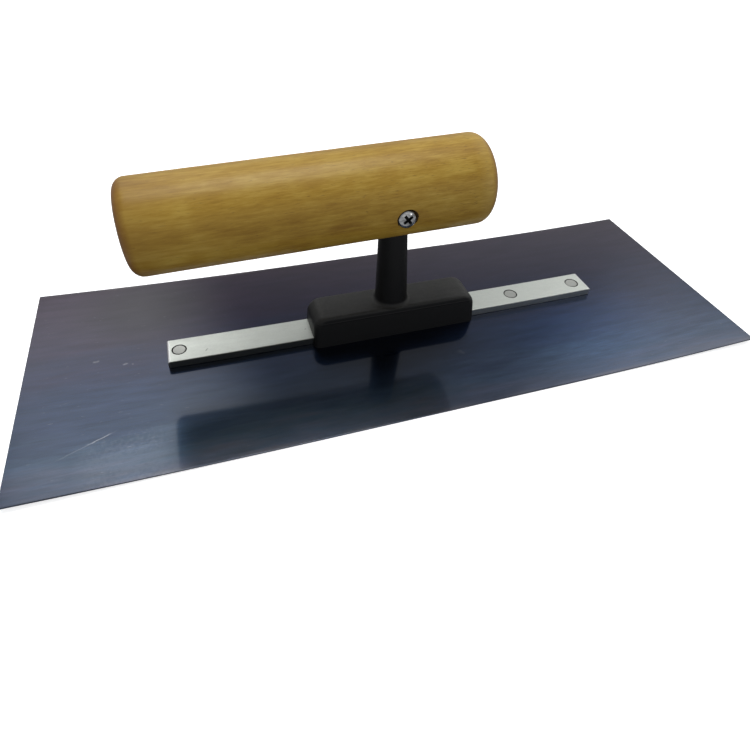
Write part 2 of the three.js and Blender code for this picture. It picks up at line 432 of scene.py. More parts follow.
def patch(nodes, middle, half_size):
    """1 at the middle of a soft ellipse in the XY plane in millimetres, 0 outside it."""
    size = (half_size[0] * MM, half_size[1] * MM, 1)
    spot = nodes.place(size, origin=(middle[0] * MM, middle[1] * MM, 0))
    reach = nodes.add("ShaderNodeVectorMath", {0: spot}, operation="LENGTH").outputs["Value"]
    inputs = {"Value": reach, "From Min": 1, "From Max": 0.15}
    fade = nodes.add("ShaderNodeMapRange", inputs, interpolation_type="SMOOTHSTEP")
    return fade.outputs["Result"]


def brushed_tangent(nodes):
    """Turns an anisotropic shader's blur across grooves that run along X."""
    normal = nodes.add("ShaderNodeNewGeometry").outputs["Normal"]
    cross = nodes.add("ShaderNodeVectorMath", {0: normal, 1: (1, 0, 0)}, operation="CROSS_PRODUCT")
    nodes.link(cross.outputs["Vector"], "Tangent")


# The blade's temper colours from its front edge to its back edge.
TEMPER_BANDS = [
    (0.0, (0.06, 0.075, 0.124)),
    (0.1, (0.04, 0.069, 0.124)),
    (0.2, (0.024, 0.044, 0.092)),
    (0.35, (0.014, 0.029, 0.074)),
    (0.5, (0.013, 0.02, 0.056)),
    (0.7, (0.02, 0.016, 0.044)),
    (1.0, (0.031, 0.018, 0.041)),
]
# What they are multiplied by from its left end to its right end: the left half is greyer, and
# the middle of the right half is the bluest.
TEMPER_TINTS = [
    (0.0, (1, 1, 0.95)),
    (0.22, (1, 1, 0.88)),
    (0.5, (1, 1, 0.95)),
    (0.75, (0.88, 0.98, 1.08)),
    (1.0, (0.94, 0.99, 1.02)),
]
# What they are multiplied by in smears.
TEMPER_SMEARS = [(0.3, (0.87, 0.91, 0.89)), (0.7, (1.13, 1.09, 1.11))]
# A soft patch in front of the bar's right end where the temper is bluest, in millimetres: its
# middle and half size.
BLUEST = ((76, -22), (52, 30))
BLUEST_TINT = (1, 1.35, 1.45)
# Soft patches of painted shade on the blade: behind the left rivet, and just in front of the boss,
# where it stands for the boss's dark reflection: middle, half size and strength.
BLADE_PAINTED_SHADES = [
    ((-98, 34), (40, 34), 0.7),
    ((-5, -20), (42, 12), 0.5),
]
# Scratches and rubbed specks, and last a broad painted sheen at the front left, in millimetres:
# start, end, width and strength.
BLADE_MARKS_AND_SHEEN = [
    ((-127, -37.4), (-108.2, -28.9), 0.28, 0.1),
    ((-117.5, -33.1), (-110.2, -29.8), 0.26, 0.24),
    ((-118, 5.3), (-115.4, 5.5), 0.5, 0.13),
    ((-107.8, 1.8), (-105.6, 2), 0.5, 0.16),
    ((-104.6, 1.2), (-103.8, 1.3), 0.4, 0.14),
    ((16.2, -22.6), (18.4, -25.2), 0.9, 0.06),
    ((-122, -44), (-90, -42), 11, 0.045),
]
BLADE_SHADE_COLOUR = (0.004, 0.004, 0.007)
GLINT_METAL = (0.28, 0.28, 0.3)
SCRATCH_AND_SHEEN_METAL = (0.55, 0.55, 0.56)
FRONT_METAL = grey(0.3)
WORN_METAL = (0.42, 0.38, 0.34)


def blued_steel():
    """Spring steel with temper colours in bands from back to front, brushed along X."""
    nodes = Nodes(
        "blued_steel",
        Metallic=1.0,
        Anisotropic=0.4,
        Coat_Roughness=0.08,
        Coat_IOR=1.6,
    )
    brushed_tangent(nodes)
    half = blade_high.y
    spot = nodes.split(nodes.place())
    along, across = spot["X"], spot["Y"]
    band = nodes.math("ADD", across, nodes.vary(nodes.grain((45, 9, 9), 3, 0.6), -7 * MM, 7 * MM))
    lick = nodes.grain((14, 1.6, 9), 3, 0.6)
    band = nodes.math("ADD", band, nodes.vary(lick, -5 * MM, 5 * MM))
    temper = nodes.ramp(nodes.span(band, -half, half), TEMPER_BANDS)
    tints = nodes.ramp(nodes.span(along, blade_low.x, blade_high.x), TEMPER_TINTS)
    temper = nodes.tint(temper, tints)
    smears = nodes.grain((19, 2.6, 9), 2, 0.5)
    temper = nodes.tint(temper, nodes.ramp(smears, TEMPER_SMEARS))
    temper = nodes.blend(patch(nodes, *BLUEST), temper, BLUEST_TINT, "MULTIPLY")
    # Painted shade: the blade is darkened in soft patches.
    for middle, half_size, share in BLADE_PAINTED_SHADES:
        painted_shade = nodes.multiply(patch(nodes, middle, half_size), share)
        temper = nodes.blend(painted_shade, temper, BLADE_SHADE_COLOUR)
    strokes = nodes.grain((11, 0.8, 9), 3, 0.65)
    hairs = nodes.grain((5, 0.4, 9), 2, 0.6, turn=(0, 0, 0.05))
    shade = nodes.multiply(nodes.vary(strokes, 0.85, 1.15), nodes.vary(hairs, 0.9, 1.1))
    colour = nodes.tint(temper, shade)
    glints = nodes.span(nodes.grain((2.6, 0.5, 9), 2, 0.5), 0.7, 0.78, 0, 0.25)
    colour = nodes.blend(glints, colour, GLINT_METAL)
    # Scratches and specks, and one broad painted sheen.
    for start, end, width, share in BLADE_MARKS_AND_SHEEN:
        made = nodes.multiply(mark(nodes, start, end, width), share)
        colour = nodes.blend(made, colour, SCRATCH_AND_SHEEN_METAL)
    # The blade is lighter along the right half of its front edge, and both long edges are worn in
    # places.
    front = nodes.span(across, -half + 7 * MM, -half + 1 * MM, 0, 0.12)
    front = nodes.multiply(front, nodes.span(along, 40 * MM, 110 * MM))
    colour = nodes.blend(front, colour, FRONT_METAL)
    worn = nodes.span(nodes.math("ABSOLUTE", across), half - 1.6 * MM, half - 0.7 * MM)
    worn = nodes.multiply(worn, nodes.span(nodes.grain((25, 25, 9)), 0.4, 0.7, 0, 0.16))
    nodes.link(nodes.blend(worn, colour, WORN_METAL), "Base Color")
    nodes.link(nodes.vary(strokes, 0.25, 0.27), "Roughness")
    nodes.link(nodes.vary(smears, 0.665, 0.735, 0.2), "Coat Weight")
    nodes.link(nodes.bump(hairs, 0.0022 * MM), "Normal")
    return nodes.material


BAR_TONE = (0.89, 0.93, 0.86)
RIVET_TONE = (0.6, 0.61, 0.57)
# Painted light and shade along the bar from its left end to its right end: darkest a quarter of the
# way along, brightest at the right end.
BAR_PAINTED_LIGHT = [(0, grey(0.8)), (0.25, grey(0.65)), (0.65, grey(0.8)), (1, grey(1))]
BARE_METAL_AND_HIGHLIGHT = (1, 0.99, 1)
BAR_SIDE_SHADE = (0.06, 0.062, 0.05)
# Two dark dents by the left rivet and half way to the boss: start, end and width.
BAR_DENTS = [((-78.3, -1.6), (-77.1, -0.2), 0.3), ((-40.1, 1.2), (-39.3, 1.7), 0.25)]
DENT_DARK = (0.1, 0.1, 0.09)


def mill_aluminium(name, tone):
    """Dull rolled aluminium with a fine lengthwise grain, dents and faint scuffs."""
    nodes = Nodes(name, Metallic=1.0)
    cloud = nodes.grain((9, 4, 4), 4, 0.6)
    grain = nodes.grain((12, 0.3, 0.3), 3, 0.6)
    pits = nodes.grain((0.8, 0.8, 0.8), 2)
    along = nodes.split(nodes.place())["X"]
    colour = nodes.ramp(cloud, [(0.3, tuple(0.9 * c for c in tone)), (0.7, tone)])
    # Painted light and shade: the bar darkens and brightens along its length.
    bar_painted_light = nodes.ramp(nodes.span(along, bar_low.x, bar_high.x), BAR_PAINTED_LIGHT)
    colour = nodes.tint(colour, bar_painted_light)
    coarse = nodes.vary(grain, 0.47, 0.52, 0.2)
    fine = nodes.vary(pits, 0.47, 0.52, 0.2)
    colour = nodes.tint(colour, nodes.math("ADD", coarse, fine))
    # The sheared ends are bare metal, and painted brighter still as their highlight.
    reach = nodes.away(along, BAR_MIDDLE)
    bare_and_highlight = nodes.span(reach, BAR_HALF - 1.1 * MM, BAR_HALF - 0.7 * MM, 0, 0.85)
    colour = nodes.blend(bare_and_highlight, colour, BARE_METAL_AND_HIGHLIGHT)
    # The long sides are sheared, and painted dark as shade, most of all at the left.
    side = nodes.span(nodes.math("ABSOLUTE", nodes.normal()["Y"]), 0.6, 0.95)
    side_shade = nodes.span(along, -30 * MM, 20 * MM, 0.8, 0.12)
    colour = nodes.blend(nodes.multiply(side, side_shade), colour, BAR_SIDE_SHADE)
    dents = nodes.math("MAXIMUM", *(mark(nodes, *dent) for dent in BAR_DENTS))
    colour = nodes.blend(nodes.multiply(dents, 0.6), colour, DENT_DARK)
    nodes.link(colour, "Base Color")
    nodes.link(nodes.vary(cloud, 0.42, 0.34, 0.2), "Roughness")
    normal = nodes.bump(grain, 0.006 * MM)
    nodes.link(nodes.bump(pits, 0.008 * MM, normal), "Normal")
    return nodes.material


# The dark colour in a piece's grooves and recesses is its second material: painted shade in the
# screw's slot, stain and painted shade in its recess, and dark rings round the rivets.
DARK_SEAT_INDEX = 1
RIVET_RING_DARK = grey(0.03)
SLOT_SHADE = grey(0.02)
RECESS_STAIN_AND_SHADE = (0.15, 0.09, 0.035)


def dark_seat_material(name, colour):
    """Dull dark colour for a groove or recess: painted shade in the screw's slot, stain and painted
    shade in its recess, dark rings round the rivets.
    """
    nodes = Nodes(name, Roughness=0.8, Specular_IOR_Level=0.2)
    crumbs = nodes.grain((0.4, 0.4, 0.4), 3)
    dark = tuple(0.5 * c for c in colour)
    nodes.link(nodes.ramp(crumbs, [(0.35, dark), (0.65, colour)]), "Base Color")
    nodes.link(nodes.bump(crumbs, 0.03 * MM), "Normal")
    return nodes.material


PLASTIC_TONES = [(0.35, grey(0.001)), (0.65, grey(0.004))]
PLASTIC_DUST_AND_LIGHT = (0.044, 0.044, 0.041)


def black_moulding():
    """Glass-filled black plastic, satin, with a faint moulded grain, dust and painted light on top,
    and a painted highlight on its right end.
    """
    nodes = Nodes("black_moulding", Specular_IOR_Level=0.4)
    cloud = nodes.grain((6, 6, 6), 4, 0.6)
    flow = nodes.grain((9, 1.2, 1.2), 3, 0.6)
    tone = nodes.multiply(nodes.math("ADD", cloud, flow), 0.5)
    colour = nodes.ramp(tone, PLASTIC_TONES)
    # Dust and painted light grey the faces that look up.
    facing = nodes.normal()
    dust_and_light = nodes.multiply(nodes.span(facing["Z"], 0.3, 1), nodes.vary(cloud, 0.5, 1))
    # The rounded right end gets a painted grey highlight.
    painted_highlight = nodes.multiply(
        nodes.span(facing["X"], 0.1, 0.5),
        nodes.span(facing["Z"], 0.3, 0.7, 0, 0.6),
    )
    dust_and_light = nodes.math("ADD", dust_and_light, painted_highlight)
    specks = nodes.grain((1.2, 1.2, 1.2), 3, 0.6)
    dust_and_light = nodes.multiply(dust_and_light, nodes.vary(specks, 0.72, 1, 0.2))
    nodes.link(nodes.blend(dust_and_light, colour, PLASTIC_DUST_AND_LIGHT), "Base Color")
    nodes.link(nodes.vary(tone, 0.46, 0.6, 0.15), "Roughness")
    grain = nodes.grain((0.35, 0.35, 0.35), 2)
    nodes.link(nodes.bump(grain, 0.012 * MM), "Normal")
    return nodes.material


WOOD_TONES = [
    (0.36, (0.33, 0.165, 0.012)),
    (0.5, (0.485, 0.283, 0.031)),
    (0.64, (0.64, 0.425, 0.077)),
]
WOOD_FLECK = (0.17, 0.075, 0.015)
WOOD_LINE = (0.24, 0.115, 0.015)
WOOD_SHEEN = (0.72, 0.5, 0.16)
WOOD_STAIN = (0.3, 0.15, 0.015)
WOOD_RIM = (0.27, 0.105, 0.02)
END_GRAIN_TONES = [(0.25, (0.24, 0.105, 0.015)), (0.75, (0.36, 0.18, 0.03))]


def varnished_wood():
    """Golden turned hardwood: streaks and fibres along the handle under a thin satin varnish."""
    nodes = Nodes(
        "varnished_wood",
        Specular_IOR_Level=0.35,
        Coat_Weight=0.16,
        Coat_Roughness=0.2,
        Coat_IOR=1.45,
    )
    where = {"turn": (0, -POST_LEAN, 0), "origin": HANDLE_ORIGIN}
    bands = nodes.grain((70, 7, 7), 2, 0.5, **where)
    streaks = nodes.grain((10, 1.1, 1.1), 3, 0.6, **where)
    fibres = nodes.grain((3.4, 0.36, 0.36), 2, 0.6, **where)
    blotches = nodes.grain((11, 6, 6), 3, 0.55, **where)
    along = nodes.split(nodes.place(**where))["X"]
    # The grain shows more towards the right end.
    open_grain = nodes.span(along, -55 * MM, 15 * MM, 0.45, 0.9)
    fibres = nodes.multiply(nodes.math("SUBTRACT", fibres, 0.5), open_grain)
    tone = nodes.math("ADD", nodes.multiply(bands, 0.25), 0.125)
    for layer, share in ((streaks, 0.28), (fibres, 0.25), (blotches, 0.22)):
        tone = nodes.math("ADD", tone, nodes.multiply(layer, share))
    colour = nodes.ramp(tone, WOOD_TONES)
    flecks = nodes.span(nodes.grain((2.4, 0.42, 0.42), 2, 0.55, **where), 0.62, 0.74)
    flecks = nodes.multiply(flecks, nodes.span(along, -60 * MM, 30 * MM, 0.35, 0.6))
    colour = nodes.blend(flecks, colour, WOOD_FLECK)
    lines = nodes.span(nodes.grain((9, 0.3, 0.3), 3, 0.7, **where), 0.57, 0.7, 0, 0.22)
    colour = nodes.blend(nodes.multiply(lines, open_grain), colour, WOOD_LINE)
    # A painted sheen lightens the right end, the left end is darker, and both rims took more stain.
    sheen = nodes.span(along, HANDLE_RIGHT - 9 * MM, HANDLE_RIGHT - 5.5 * MM, 0, 0.22)
    colour = nodes.blend(sheen, colour, WOOD_SHEEN)
    stain = nodes.span(along, HANDLE_LEFT + 16 * MM, HANDLE_LEFT + 4 * MM, 0, 0.35)
    colour = nodes.blend(stain, colour, WOOD_STAIN)
    reach = nodes.away(along, HANDLE_MIDDLE)
    rim = nodes.span(reach, HANDLE_HALF - 4 * MM, HANDLE_HALF - 1.2 * MM, 0, 0.8)
    colour = nodes.blend(rim, colour, WOOD_RIM)
    # The end grain shows the tree's rings and its pores.
    wave = {
        "Vector": nodes.place((MM, MM, MM), (0, -POST_LEAN, 0), HEART),
        "Scale": 0.19,
        "Distortion": 5,
        "Detail": 3,
    }
    rings = nodes.add("ShaderNodeTexWave", wave, wave_type="RINGS", rings_direction="X")
    pores = nodes.grain((0.6, 0.35, 0.35), 3, 0.6, **where)
    end_tone = nodes.multiply(rings.outputs["Fac"], 0.34)
    end_tone = nodes.math("ADD", end_tone, nodes.multiply(pores, 0.66))
    end = nodes.span(nodes.math("ABSOLUTE", nodes.normal()["X"]), 0.75, 0.97)
    colour = nodes.blend(end, colour, nodes.ramp(end_tone, END_GRAIN_TONES))
    nodes.link(colour, "Base Color")
    nodes.link(nodes.vary(streaks, 0.52, 0.42, 0.2), "Roughness")
    nodes.link(nodes.bump(fibres, 0.012 * MM), "Normal")
    return nodes.material


PLATE_TONES = [(0.35, grey(0.34)), (0.65, grey(0.78))]


def bright_plate():
    """Bright plated steel with light scuffs."""
    nodes = Nodes("bright_plate", Metallic=1.0)
    cloud = nodes.grain((1, 1, 1), 3)
    nodes.link(nodes.ramp(cloud, PLATE_TONES), "Base Color")
    nodes.link(nodes.vary(cloud, 0.26, 0.16, 0.2), "Roughness")
    nodes.link(nodes.bump(cloud, 0.01 * MM), "Normal")
    return nodes.material


# Mesh helpers.
def fill(mesh, bm, sharp_degrees):
    """Writes a mesh that is smooth except over its sharp edges."""
    bm.normal_update()
    bm.to_mesh(mesh)
    bm.free()
    mesh.shade_smooth()
    mesh.set_sharp_from_angle(angle=math.radians(sharp_degrees))


def finish_mesh(name, bm, materials=()):
    mesh = bpy.data.meshes.new(name)
    for material in materials:
        mesh.materials.append(material)
    fill(mesh, bm, SHARP_DEGREES)
    made = bpy.data.objects.new(name, mesh)
    bpy.context.scene.collection.objects.link(made)
    return made


def bevelled_box(low, high, bevel, segments=2):
    bm = bmesh.new()
    bmesh.ops.create_cube(bm, size=1)
    size = high - low
    for vert in bm.verts:
        vert.co = low + Vector((size[i] * (vert.co[i] + 0.5) for i in range(3)))
    if bevel:
        bmesh.ops.bevel(
            bm, geom=bm.edges, offset=bevel, segments=segments, profile=0.5, affect="EDGES"
        )
    return bm


def loft(rings):
    """Quads between rings of points, each ring as long as the next, and a face over each end."""
    bm = bmesh.new()
    loops = [[bm.verts.new(point) for point in ring] for ring in rings]
    for near, far in zip(loops, loops[1:]):
        count = len(near)
        for i in range(count):
            j = (i + 1) % count
            bm.faces.new((near[i], near[j], far[j], far[i]))
    bm.faces.new(list(reversed(loops[0])))
    bm.faces.new(loops[-1])
    bmesh.ops.recalc_face_normals(bm, faces=bm.faces)
    return bm


def turned(profile, steps):
    """A closed turned piece along +Z from (radius, height) pairs, lowest first."""
    rings = []
    for radius, height in profile:
        turns = (2 * math.pi * i / steps for i in range(steps))
        rings.append([(radius * math.cos(t), radius * math.sin(t), height) for t in turns])
    return loft(rings)


def arc(steps):
    """Angles from 0 to a right angle."""
    return [math.pi / 2 * i / steps for i in range(steps + 1)]


def stations(start, end, steps):
    """Even steps from a start, which is left out, to an end."""
    return [start + (end - start) * i / steps for i in range(1, steps + 1)]


def shift(bm, offset):
    bmesh.ops.translate(bm, verts=bm.verts, vec=offset)
    return bm


def slice_across(bm, x):
    bmesh.ops.bisect_plane(
        bm,
        geom=bm.verts[:] + bm.edges[:] + bm.faces[:],
        plane_co=(x, 0, 0),
        plane_no=(1, 0, 0),
    )


def combine(target, tool_bm, operation="DIFFERENCE"):
    """Cuts a closed mesh from the target, or joins it on, exactly."""
    tool = finish_mesh("tool", tool_bm)
    modifier = target.modifiers.new("combine", "BOOLEAN")
    modifier.operation = operation
    modifier.solver = "EXACT"
    modifier.object = tool
    bpy.context.view_layer.update()
    graph = bpy.context.evaluated_depsgraph_get()
    result = bpy.data.meshes.new_from_object(target.evaluated_get(graph))
    target.modifiers.clear()
    target.data = result
    bpy.data.objects.remove(tool)


def edit(made, change=None, sharp_degrees=SHARP_DEGREES):
    """Runs a change on the object's mesh, and sets its smooth and sharp edges again."""
    bm = bmesh.new()
    bm.from_mesh(made.data)
    if change:
        change(bm)
    fill(made.data, bm, sharp_degrees)


def paint(made, index, inside):
    """Gives a material slot to every face whose middle and normal pass a test."""
    for face in made.data.polygons:
        if inside(face.center, face.normal):
            face.material_index = index


def weigh_normals(made):
    modifier = made.modifiers.new("normals", "WEIGHTED_NORMAL")
    modifier.keep_sharp = True
    modifier.weight = NORMAL_WEIGHT


def settle(made, slot, *nodes):
    """Puts a finished piece in place of CAD nodes."""
    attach(made, BODY)
    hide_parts(*nodes)


# The sprung blade and what is riveted to it are made flat, and then bent together.
def camber(x):
    past = max(abs(x) - BLADE_FLAT_HALF, 0) / (blade_high.x - BLADE_FLAT_HALF)
    return BLADE_RISE * past * past


def spring_mesh(bm):
    count = int(blade_high.x / SPRING_STEP)
    for i in range(-count, count + 1):
        slice_across(bm, i * SPRING_STEP)
    for vert in bm.verts:
        vert.co.z += camber(vert.co.x)


def rivet_place(node):
    low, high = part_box(node)
    return Vector(((low.x + high.x) / 2, (low.y + high.y) / 2, 0))


def rivet_profile(ring):
    """A flush countersunk head, a shank and a slightly dished top inside its dark ring."""
    top = ring - RIVET_RING_WIDTH
    dish = [(share * top, BAR_TOP - depth) for share, depth in RIVET_DISH]
    return [
        (RIVET_HEAD_RADIUS - RIVET_EDGE, 0),
        (RIVET_HEAD_RADIUS, RIVET_EDGE),
        (RIVET_SHANK_RADIUS, BLADE_THICKNESS),
        (RIVET_SHANK_RADIUS, BAR_TOP - RIVET_TOP_DEPTH),
        (top, BAR_TOP - RIVET_RING_DEPTH),
        (top, BAR_TOP - RIVET_EDGE),
        (top - RIVET_EDGE, BAR_TOP),
        *dish,
    ]


def rivet_hole(ring):
    """The cutter for a rivet's hole and its ring's groove."""
    return [
        (RIVET_HEAD_RADIUS + HAIRLINE, -PAST),
        (RIVET_HEAD_RADIUS + HAIRLINE, 0),
        (RIVET_SHANK_RADIUS + HAIRLINE, BLADE_THICKNESS),
        (RIVET_SHANK_RADIUS + HAIRLINE, BAR_TOP - RIVET_TOP_DEPTH),
        (ring, BAR_TOP - RIVET_RING_DEPTH - HAIRLINE),
        (ring, BAR_TOP + PAST),
    ]


def ring_radius(node):
    return RIVET_RING_RADIUS.get(node, RIVET_RING_USUAL)


def cut_rivet_holes(target):
    for node in RIVETS:
        tool = turned(rivet_hole(ring_radius(node)), ROUND_STEPS)
        combine(target, shift(tool, rivet_place(node)))


def in_rivet_hole(point, normal):
    """Whether a face of the bar lies in a rivet's hole: its walls, but not the bar's flat top."""
    if point.z < BLADE_THICKNESS or abs(normal.z) > FLAT_NORMAL:
        return False
    return any(
        math.hypot(*(point - rivet_place(node)).xy) < ring_radius(node) + HAIRLINE
        for node in RIVETS
    )


def make_blade(material):
    low = Vector((blade_low.x, blade_low.y, 0))
    high = Vector((blade_high.x, blade_high.y, BLADE_THICKNESS))
    sheet = bevelled_box(low, high, BLADE_BEVEL)
    made = finish_mesh("blade_sheet", sheet, [material])
    cut_rivet_holes(made)
    edit(made, spring_mesh)
    weigh_normals(made)
    settle(made, "blade_steel", "blade")


def peg_tool(side, radius, low, high):
    tool = turned([(radius, low), (radius, high)], PEG_STEPS)
    return shift(tool, (PEGS_MIDDLE + side * PEG_OFFSET, LINE_Y, 0))


def roll_bar_ends(bm):
    """Rounds the top edge of each sheared end over."""
    for side, end in ((-1, bar_low.x), (1, bar_high.x)):
        for inside in stations(0, BAR_END_ROLL, BAR_END_STEPS):
            slice_across(bm, end - side * inside)
    for vert in bm.verts:
        inside = min(vert.co.x - bar_low.x, bar_high.x - vert.co.x)
        over = max(1 - inside / BAR_END_ROLL, 0)
        if vert.co.z > BAR_TOP / 2:
            vert.co.z -= BAR_END_DROP * over * over


def make_bar(material, dark_seat):
    low = Vector((bar_low.x, bar_low.y, BLADE_THICKNESS + HAIRLINE))
    high = Vector((bar_high.x, bar_high.y, BAR_TOP))
    made = finish_mesh("flat_bar", bevelled_box(low, high, BAR_BEVEL, 3), [material, dark_seat])
    cut_rivet_holes(made)
    # The rivet holes' walls are painted dark: the dark rings round the rivets.
    paint(made, DARK_SEAT_INDEX, in_rivet_hole)
    for side in (-1, 1):
        combine(made, peg_tool(side, PEG_RADIUS + HAIRLINE, 0, 2 * BAR_TOP))
    edit(made, roll_bar_ends)
    edit(made, spring_mesh)
    weigh_normals(made)
    settle(made, "bar_metal", "mounting_bar")


def make_rivets(material):
    for node in RIVETS:
        body = shift(turned(rivet_profile(ring_radius(node)), ROUND_STEPS), rivet_place(node))
        for vert in body.verts:
            vert.co.z += camber(vert.co.x)
        made = finish_mesh(node + "_driven", body, [material])
        settle(made, "rivet_metal", node)


# The shank: one skin of rings from the post's tip, down and out over the boss to its foot.
def boss_outline(height):
    """The boss's half length, half width and corner radius at a height."""
    end_drop = max(height - (BOSS_TOP - BOSS_END_ROUND), 0)
    edge_drop = max(height - (BOSS_TOP - BOSS_EDGE_ROUND), 0)
    end_in = BOSS_END_ROUND - math.sqrt(max(BOSS_END_ROUND**2 - end_drop**2, 0))
    edge_in = BOSS_EDGE_ROUND - math.sqrt(max(BOSS_EDGE_ROUND**2 - edge_drop**2, 0))
    foot_length = (shank_high.x - shank_low.x + BOSS_LEFT_EXTRA) / 2
    half_length = foot_length - BOSS_END_DRAFT * height / BOSS_TOP - end_in
    foot_half = (shank_high.y - shank_low.y) / 2 + BOSS_SIDE_DRAFT * shank_low.z
    half_width = foot_half - BOSS_SIDE_DRAFT * height - edge_in
    if abs(height - BOSS_TOP + PARTING_DROP) < PARTING_HALF_WIDTH / 2:
        half_width += PARTING_RIDGE
    return half_length, half_width, BOSS_CORNER - edge_in


def boss_ring(height):
    """Points round the boss at a height: four rounded corners and the straight runs between."""
    half_length, half_width, corner = boss_outline(height)
    corners = []
    for quarter, (side_x, side_y) in enumerate(BOSS_CORNERS):
        hub_x = BOSS_MIDDLE + side_x * (half_length - corner)
        hub_y = LINE_Y + side_y * (half_width - corner)
        turns = [turn + quarter * math.pi / 2 for turn in arc(BOSS_CORNER_STEPS)]
        corners.append(
            [
                Vector((hub_x + corner * math.cos(turn), hub_y + corner * math.sin(turn), height))
                for turn in turns
            ]
        )
    ring = []
    for here, there, steps in zip(corners, corners[1:] + corners[:1], BOSS_RUN_STEPS):
        ring += here
        ring += [here[-1].lerp(there[0], i / steps) for i in range(1, steps)]
    return ring


def post_ring(directions, radius, height):
    """A round ring of the leaning post, with one point towards each point of the boss's outline."""
    centre = Vector((POST_X - math.tan(POST_LEAN) * height, LINE_Y, BOSS_TOP + height))
    return [centre + radius * direction for direction in directions]


def post_radius(height):
    return POST_RADIUS - POST_TAPER * height


def shank_rings():
    top_ring = boss_ring(BOSS_TOP)
    directions = [(point - POST_FOOT).normalized() for point in top_ring]
    rows = []
    for turn in arc(POST_TIP_STEPS):
        height = POST_HEIGHT - POST_TIP_ROUND * (1 - math.cos(turn))
        rows.append((post_radius(POST_HEIGHT) - POST_TIP_ROUND * (1 - math.sin(turn)), height))
    heights = stations(POST_HEIGHT - POST_TIP_ROUND, POST_FOOT_ROUND, POST_RUN_STEPS)[:-1]
    rows += [(post_radius(height), height) for height in heights]
    for turn in reversed(arc(POST_FOOT_STEPS)):
        height = POST_FOOT_ROUND * (1 - math.cos(turn))
        rows.append((post_radius(height) + POST_FOOT_ROUND * (1 - math.sin(turn)), height))
    rings = [post_ring(directions, radius, height) for radius, height in rows]
    foot_ring = rings[-1]
    for part in BOSS_TOP_PARTS:
        rings.append([a.lerp(b, part) for a, b in zip(foot_ring, top_ring)])
    turns = arc(BOSS_EDGE_STEPS)
    heights = [BOSS_TOP - BOSS_EDGE_ROUND * (1 - math.cos(turn)) for turn in turns]
    parting = BOSS_TOP - PARTING_DROP
    low = BOSS_TOP - BOSS_END_ROUND
    heights += stations(heights[-1], parting, 4)[:-1]
    heights += [parting + PARTING_HALF_WIDTH, parting, parting - PARTING_HALF_WIDTH]
    heights += stations(heights[-1], low, 5)
    heights += stations(low, BLADE_THICKNESS + HAIRLINE, 4)
    return rings + [boss_ring(height) for height in heights]


def make_shank(material):
    made = finish_mesh("shank_moulding", loft(shank_rings()), [material])
    low = Vector((2 * shank_low.x, bar_low.y - HAIRLINE, -BAR_TOP))
    high = Vector((2 * shank_high.x, bar_high.y + HAIRLINE, BAR_TOP + HAIRLINE))
    combine(made, bevelled_box(low, high, 0))
    for side in (-1, 1):
        peg = peg_tool(side, PEG_RADIUS, BLADE_THICKNESS + HAIRLINE, BAR_TOP + PAST)
        combine(made, peg, "UNION")
    combine(made, lean(screw_tool(HAIRLINE)))
    edit(made, sharp_degrees=SHARP_DEGREES_FINE)
    weigh_normals(made)
    settle(made, "shank_plastic", "shank")


# The leaning frame of the post, which the handle and its screw share.
def lean(bm):
    bmesh.ops.transform(bm, matrix=Matrix.Translation(POST_FOOT) @ LEAN, verts=bm.verts)
    return bm


def handle_radius(x):
    along = (x - HANDLE_LEFT) / (HANDLE_RIGHT - HANDLE_LEFT)
    return HANDLE_LEFT_RADIUS + (HANDLE_RIGHT_RADIUS - HANDLE_LEFT_RADIUS) * along


def screw_place():
    """From the screw's own frame, +Z out of its head, to the leaning frame of the handle."""
    depth = math.sqrt(handle_radius(SCREW_X) ** 2 - SCREW_DIP**2)
    turn = Matrix.Rotation(math.pi / 2 - SCREW_RISE, 4, "X")
    return Matrix.Translation((SCREW_X, -depth, HANDLE_AXIS - SCREW_DIP)) @ turn


def seat_screw(bm):
    bmesh.ops.transform(bm, matrix=screw_place(), verts=bm.verts)
    return bm


def screw_tool(grow):
    """The cutter for the screw's hole and its recess."""
    profile = [
        (SCREW_SHANK_RADIUS + grow, -SCREW_LENGTH - grow),
        (SCREW_SHANK_RADIUS + grow, SCREW_SEAT - SCREW_CONE_DEPTH),
        (SCREW_HEAD_RADIUS + grow, SCREW_SEAT - grow),
        (SCREW_RECESS_RADIUS, SCREW_SEAT - grow),
        (SCREW_RECESS_RADIUS, RECESS_FLARE_FROM),
        (SCREW_RECESS_RADIUS + RECESS_FLARE, RECESS_FLARE_TO),
        (SCREW_RECESS_RADIUS + RECESS_FLARE, RECESS_PAST),
    ]
    return seat_screw(turned(profile, ROUND_STEPS))


def handle_end(end, side, rounding):
    """(x, radius) pairs round an end's rim, from its face inwards. The side is +1 at the left."""
    rows = []
    for turn in arc(HANDLE_END_STEPS):
        x = end + side * (HANDLE_DOME + rounding * (1 - math.cos(turn)))
        rows.append((x, handle_radius(x) - rounding * (1 - math.sin(turn))))
    return rows


def handle_rows():
    """(x, radius) pairs along the whole handle, from its left face's middle to its right one's."""
    left_rim = handle_end(HANDLE_LEFT, 1, HANDLE_LEFT_ROUND)
    right_rim = handle_end(HANDLE_RIGHT, -1, HANDLE_RIGHT_ROUND)
    run = stations(left_rim[-1][0], right_rim[-1][0], HANDLE_RUN_STEPS)[:-1]
    dome = [(part, HANDLE_DOME * part**2) for part in HANDLE_DOME_PARTS]
    lead = [(HANDLE_LEFT + drop, left_rim[0][1] * part) for part, drop in dome]
    tail = [(HANDLE_RIGHT - drop, right_rim[0][1] * part) for part, drop in dome]
    middle = [(x, handle_radius(x)) for x in run]
    return lead + left_rim + middle + right_rim[::-1] + tail[::-1]


